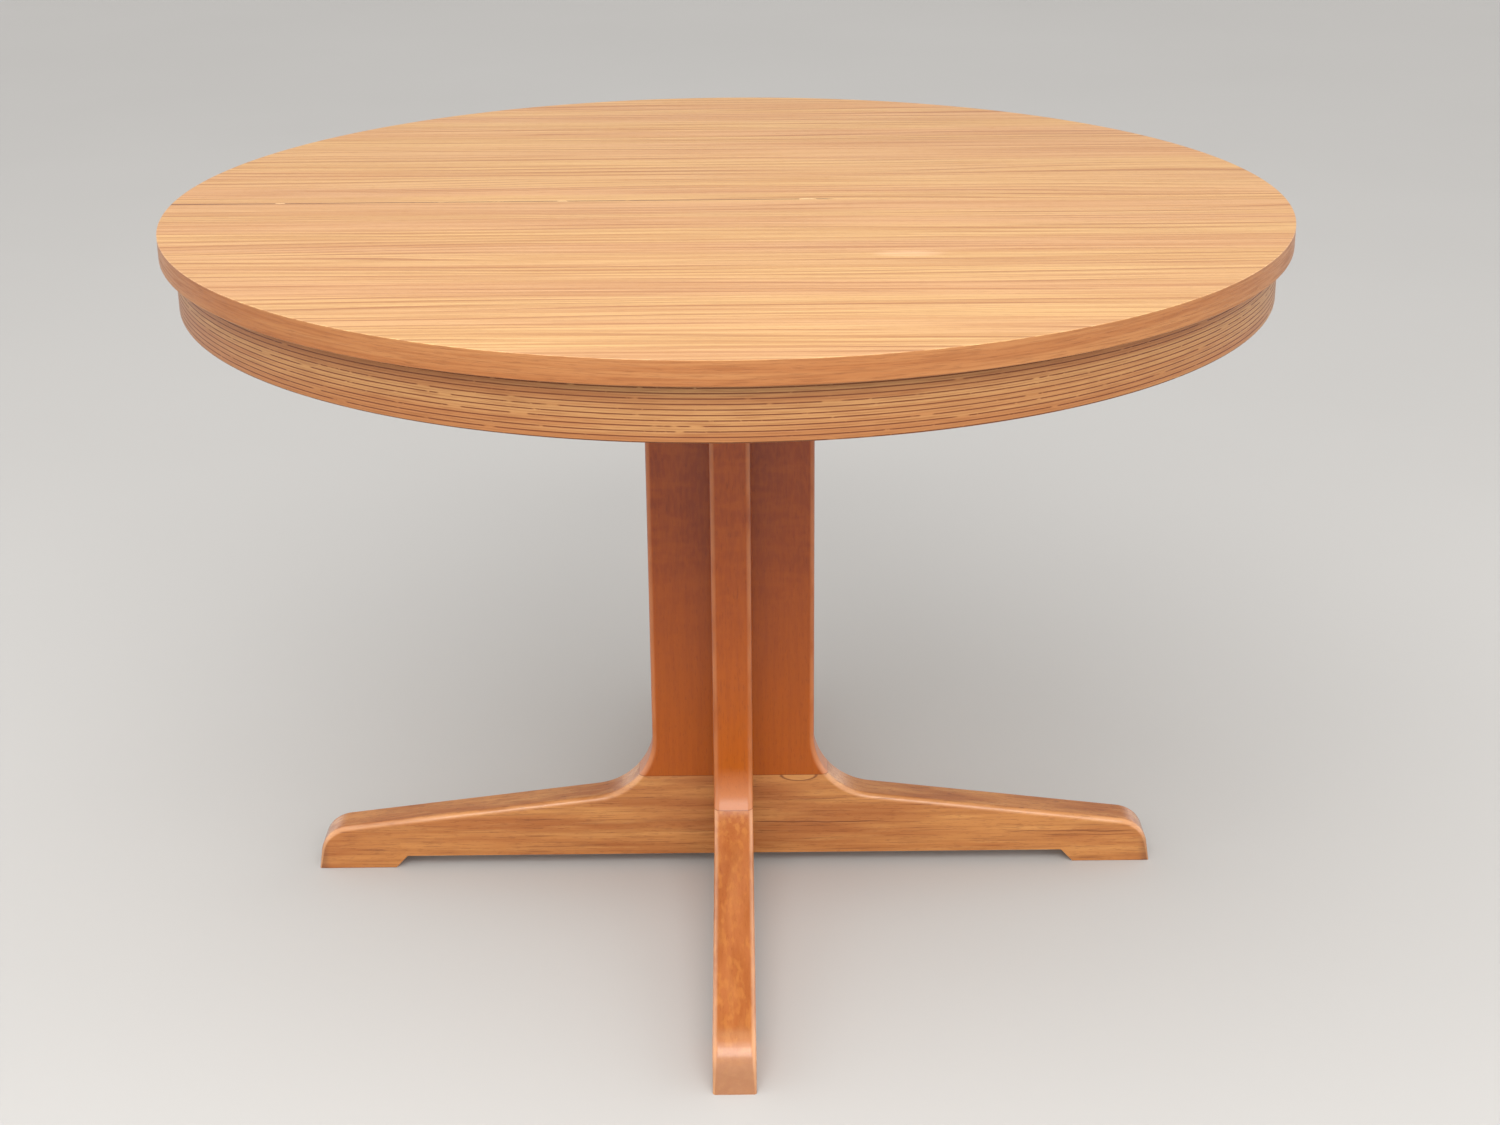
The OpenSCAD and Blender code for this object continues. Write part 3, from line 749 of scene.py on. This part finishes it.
def board_rest(_inset):
    """The board's edge against the core, which stays square."""
    return [(half_t, glue_z), (half_t, column_top)]


def foot_rim(share):
    """Upper and outer edge of a foot, from the glue line down to the floor. Its round-over gets smaller, by
    half as much as it has to round the end, and by the rest below that."""
    inset = edge_r * share
    slope_turn = 1.5 * math.pi - foot_slope
    cove = arc(cove_c, cove_r + inset, glue_angle(cove_r + inset), slope_turn, foot_cove_steps)
    rim = [(x, z, edge_r) for x, z in cove]
    for i in range(tip_steps + 1):
        turn = math.pi / 2 - foot_slope + (tip_lean - math.pi / 2 + foot_slope) * i / tip_steps
        own_r = edge_r + (end_edge_r - edge_r) * 0.5 * (i / tip_steps) ** 2
        radius = tip_r - own_r * share
        rim.append((tip_c.x + radius * math.cos(turn), tip_c.y + radius * math.sin(turn), own_r))
    rim.append((foot_reach - end_edge_r * share / math.cos(tip_lean), ease_r * share, end_edge_r))
    return rim


def foot_rest(inset):
    """Sole of a foot, from the pad to the core, and up to the glue line."""
    pad_out = foot_reach - 3 * end_edge_r
    pad_in = foot_reach - pad_l
    return [(pad_out, inset), (pad_in, inset), (pad_in - relief_run, relief_h + inset),
            (half_t, relief_h + inset), (half_t, glue_z)]


def slab_loops(rim, rest):
    """Loops across a leg's thickness, with the edge attribute of their points. The rim is rounded over, and
    the other edges are only eased."""
    loops = []
    edges = []
    for i in range(round_steps + 1):
        turn = math.pi / 2 * (1 - i / round_steps)
        out = 1 - math.cos(turn)
        down = 1 - math.sin(turn)
        rounded = [(x, half_t - own_r * down, z) for x, z, own_r in rim(out)]
        eased = [(x, half_t - ease_r * down, z) for x, z in rest(ease_r * out)]
        loops.append(rounded + eased)
        on_rim = (math.sin(2 * turn), math.cos(turn), 0.0)
        elsewhere = (0.0, 0.0, 0.0)
        edges.append([on_rim] * len(rounded) + [elsewhere] * len(eased))
    loops += [[(x, -y, z) for x, y, z in loop] for loop in reversed(loops)]
    return loops, edges + edges[::-1]


def leg_piece(name, side, rim, rest, upright, node, material):
    """A board or a foot. Its grain is upright, or else it runs out along the leg."""
    loops, edges = slab_loops(rim, rest)
    places = [Vector(place) for loop in loops for place in loop]
    turn = Matrix.Rotation(math.radians(LEGS[side]), 3, "Z")
    shift = LEG_GRAIN_STEP * list(LEGS).index(side)
    grain = [shift + (Vector((p.z, p.x, p.y)) if upright else Vector((p.x, p.z, p.y))) for p in places]
    return piece(side + "_" + name, "pedestal", [turn @ p for p in places], skin(loops), grain,
                 [side + "_" + node], [material], edge=[place for row in edges for place in row])


# ---- Building the table ----

veneer_materials = [top_oak(), bare_oak()]
band_material = band_oak()
apron_material = apron_oak()
for side, half in HALVES.items():
    half_veneer(half, veneer_materials)
    half_ring("edge_strip", half, band_section(), top_r, "edge_band", band_material)
    half_ring("apron_ring", half, apron_section(), apron_r, "apron", apron_material)

board_material = board_wood()
plain_foot = foot_wood("Foot wood", FOOT_LIGHT, FOOT_DARK, figure=0.0, contrast=0.65, rubbed=0.0)
wavy_foot = foot_wood("Figured foot wood", FRONT_LIGHT, FRONT_DARK, figure=0.42, contrast=0.22, rubbed=0.55)
for side in LEGS:
    foot_material = wavy_foot if side == "front" else plain_foot
    leg_piece("column_board", side, board_rim, board_rest, True, "board", board_material)
    leg_piece("leg_foot", side, foot_rim, foot_rest, False, "foot", foot_material)

beech_x = beech("Beech along X", (0, 0, 0))
beech_y = beech("Beech along Y", (0, 0, math.pi / 2))
beech_z = beech("Beech along Z", (0, math.pi / 2, 0))
chip_material = chipboard()
steel_material = plain_steel()

CAD_MATERIALS = {
    beech_x: ["core_dowels", "foot_dowels", "head_plate", "front_bearer", "back_bearer",
              "front_glue_blocks", "back_glue_blocks"],
    beech_y: ["left_rail", "right_rail", "front_left_runner", "front_right_runner",
              "back_left_runner", "back_right_runner", "seam_dowels"],
    beech_z: ["core_post", "board_dowels"],
    chip_material: ["front_panel", "back_panel"],
    steel_material: ["head_screws", "bearer_screws", "rail_screws", "stop_pins",
                     "front_runner_screws", "back_runner_screws"],
}
for material, names in CAD_MATERIALS.items():
    for name in names:
        nodes[name].data.materials.clear()
        nodes[name].data.materials.append(material)


# ---- Floor, lights and camera ----

FLOOR_DARK = (0.43, 0.42, 0.405, 1.0)
FLOOR_LIGHT = (0.46, 0.45, 0.435, 1.0)
SKY_COLOUR = (1.0, 0.99, 0.98, 1.0)
floor_reach = 40.0


def make_floor():
    """A wide pale floor."""
    mesh = bpy.data.meshes.new("floor")
    corners = [(-floor_reach, -floor_reach, 0), (floor_reach, -floor_reach, 0),
               (floor_reach, floor_reach, 0), (-floor_reach, floor_reach, 0)]
    mesh.from_pydata(corners, [], [(0, 1, 2, 3)])
    paint = Surface("Pale floor", turn=(0, 0, 0))
    cloud = paint.noise(paint.grain, 3.0)
    colour = paint.mix(cloud, FLOOR_DARK, FLOOR_LIGHT)
    mesh.materials.append(paint.finish(colour, 0.75))
    floor = bpy.data.objects.new("floor", mesh)
    bpy.context.scene.collection.objects.link(floor)


def area_light(name, place, target, size, power, mirrored=True):
    """A soft light that the camera can't see. The lacquer mirrors it, unless it is told not to."""
    light = bpy.data.lights.new(name, "AREA")
    light.shape = "RECTANGLE"
    light.size = size[0]
    light.size_y = size[1]
    light.energy = power
    lamp = bpy.data.objects.new(name, light)
    lamp.location = place
    lamp.rotation_euler = (Vector(target) - Vector(place)).to_track_quat("-Z", "Y").to_euler()
    lamp.visible_camera = False
    lamp.visible_glossy = mirrored
    bpy.context.scene.collection.objects.link(lamp)


# How the sky's brightness changes with the direction: the axis, two places along it, and the brightness at
# each. The rows are added up.
SKY = [
    ("Z", 0.40, 0.90, 0.34, 0.80),
    ("Y", -0.15, -0.75, 0.0, 0.3),
    ("Z", 0.14, 0.26, 0.38, 0.0),
    ("X", 0.35, 0.90, 0.0, 1.6),
    ("X", -0.35, -0.90, 0.0, 1.5),
]


def make_world():
    """Soft light from all round, as the sky says."""
    world = bpy.data.worlds.new("Studio")
    world.use_nodes = True
    tree = world.node_tree
    place = tree.nodes.new("ShaderNodeTexCoord")
    split = tree.nodes.new("ShaderNodeSeparateXYZ")
    tree.links.new(place.outputs["Generated"], split.inputs["Vector"])
    total = None
    for axis, low, high, dim, bright in SKY:
        ramp = tree.nodes.new("ShaderNodeMapRange")
        ramp.inputs["From Min"].default_value = low
        ramp.inputs["From Max"].default_value = high
        ramp.inputs["To Min"].default_value = dim
        ramp.inputs["To Max"].default_value = bright
        tree.links.new(split.outputs[axis], ramp.inputs["Value"])
        if total is None:
            total = ramp.outputs["Result"]
        else:
            both = tree.nodes.new("ShaderNodeMath")
            tree.links.new(total, both.inputs[0])
            tree.links.new(ramp.outputs["Result"], both.inputs[1])
            total = both.outputs["Value"]
    tree.links.new(total, tree.nodes["Background"].inputs["Strength"])
    tree.nodes["Background"].inputs["Color"].default_value = SKY_COLOUR
    bpy.context.scene.world = world


make_floor()
make_world()
area_light("Overhead softbox", place=(-0.8, -0.6, 3.4), target=(0, 0, 0.7), size=(3.0, 3.0), power=30.0)
area_light("Front softbox", place=(0.1, -3.4, 2.4), target=(0, 0, 0.2), size=(3.4, 4.2), power=64.0,
           mirrored=False)
area_light("High front softbox", place=(0.1, -2.7, 2.8), target=(0, 0, 0.1), size=(3.2, 1.8), power=86.0)

camera_place = (0.0115, -2.2665, 1.2503)
camera_tilt = math.radians(21.70)
camera_yaw = math.radians(-0.208)
camera_roll = math.radians(-0.475)
camera_lens = 55.70

camera_data = bpy.data.cameras.new("Camera")
camera_data.lens = camera_lens
camera_data.sensor_width = 36.0
camera_data.clip_end = 200.0
camera = bpy.data.objects.new("Camera", camera_data)
camera.location = camera_place
aim = (Matrix.Rotation(camera_yaw, 4, "Z") @ Matrix.Rotation(math.pi / 2 - camera_tilt, 4, "X")
       @ Matrix.Rotation(camera_roll, 4, "Z"))
camera.rotation_euler = aim.to_euler()
bpy.context.scene.collection.objects.link(camera)
bpy.context.scene.camera = camera
bpy.context.scene.view_settings.view_transform = "Standard"
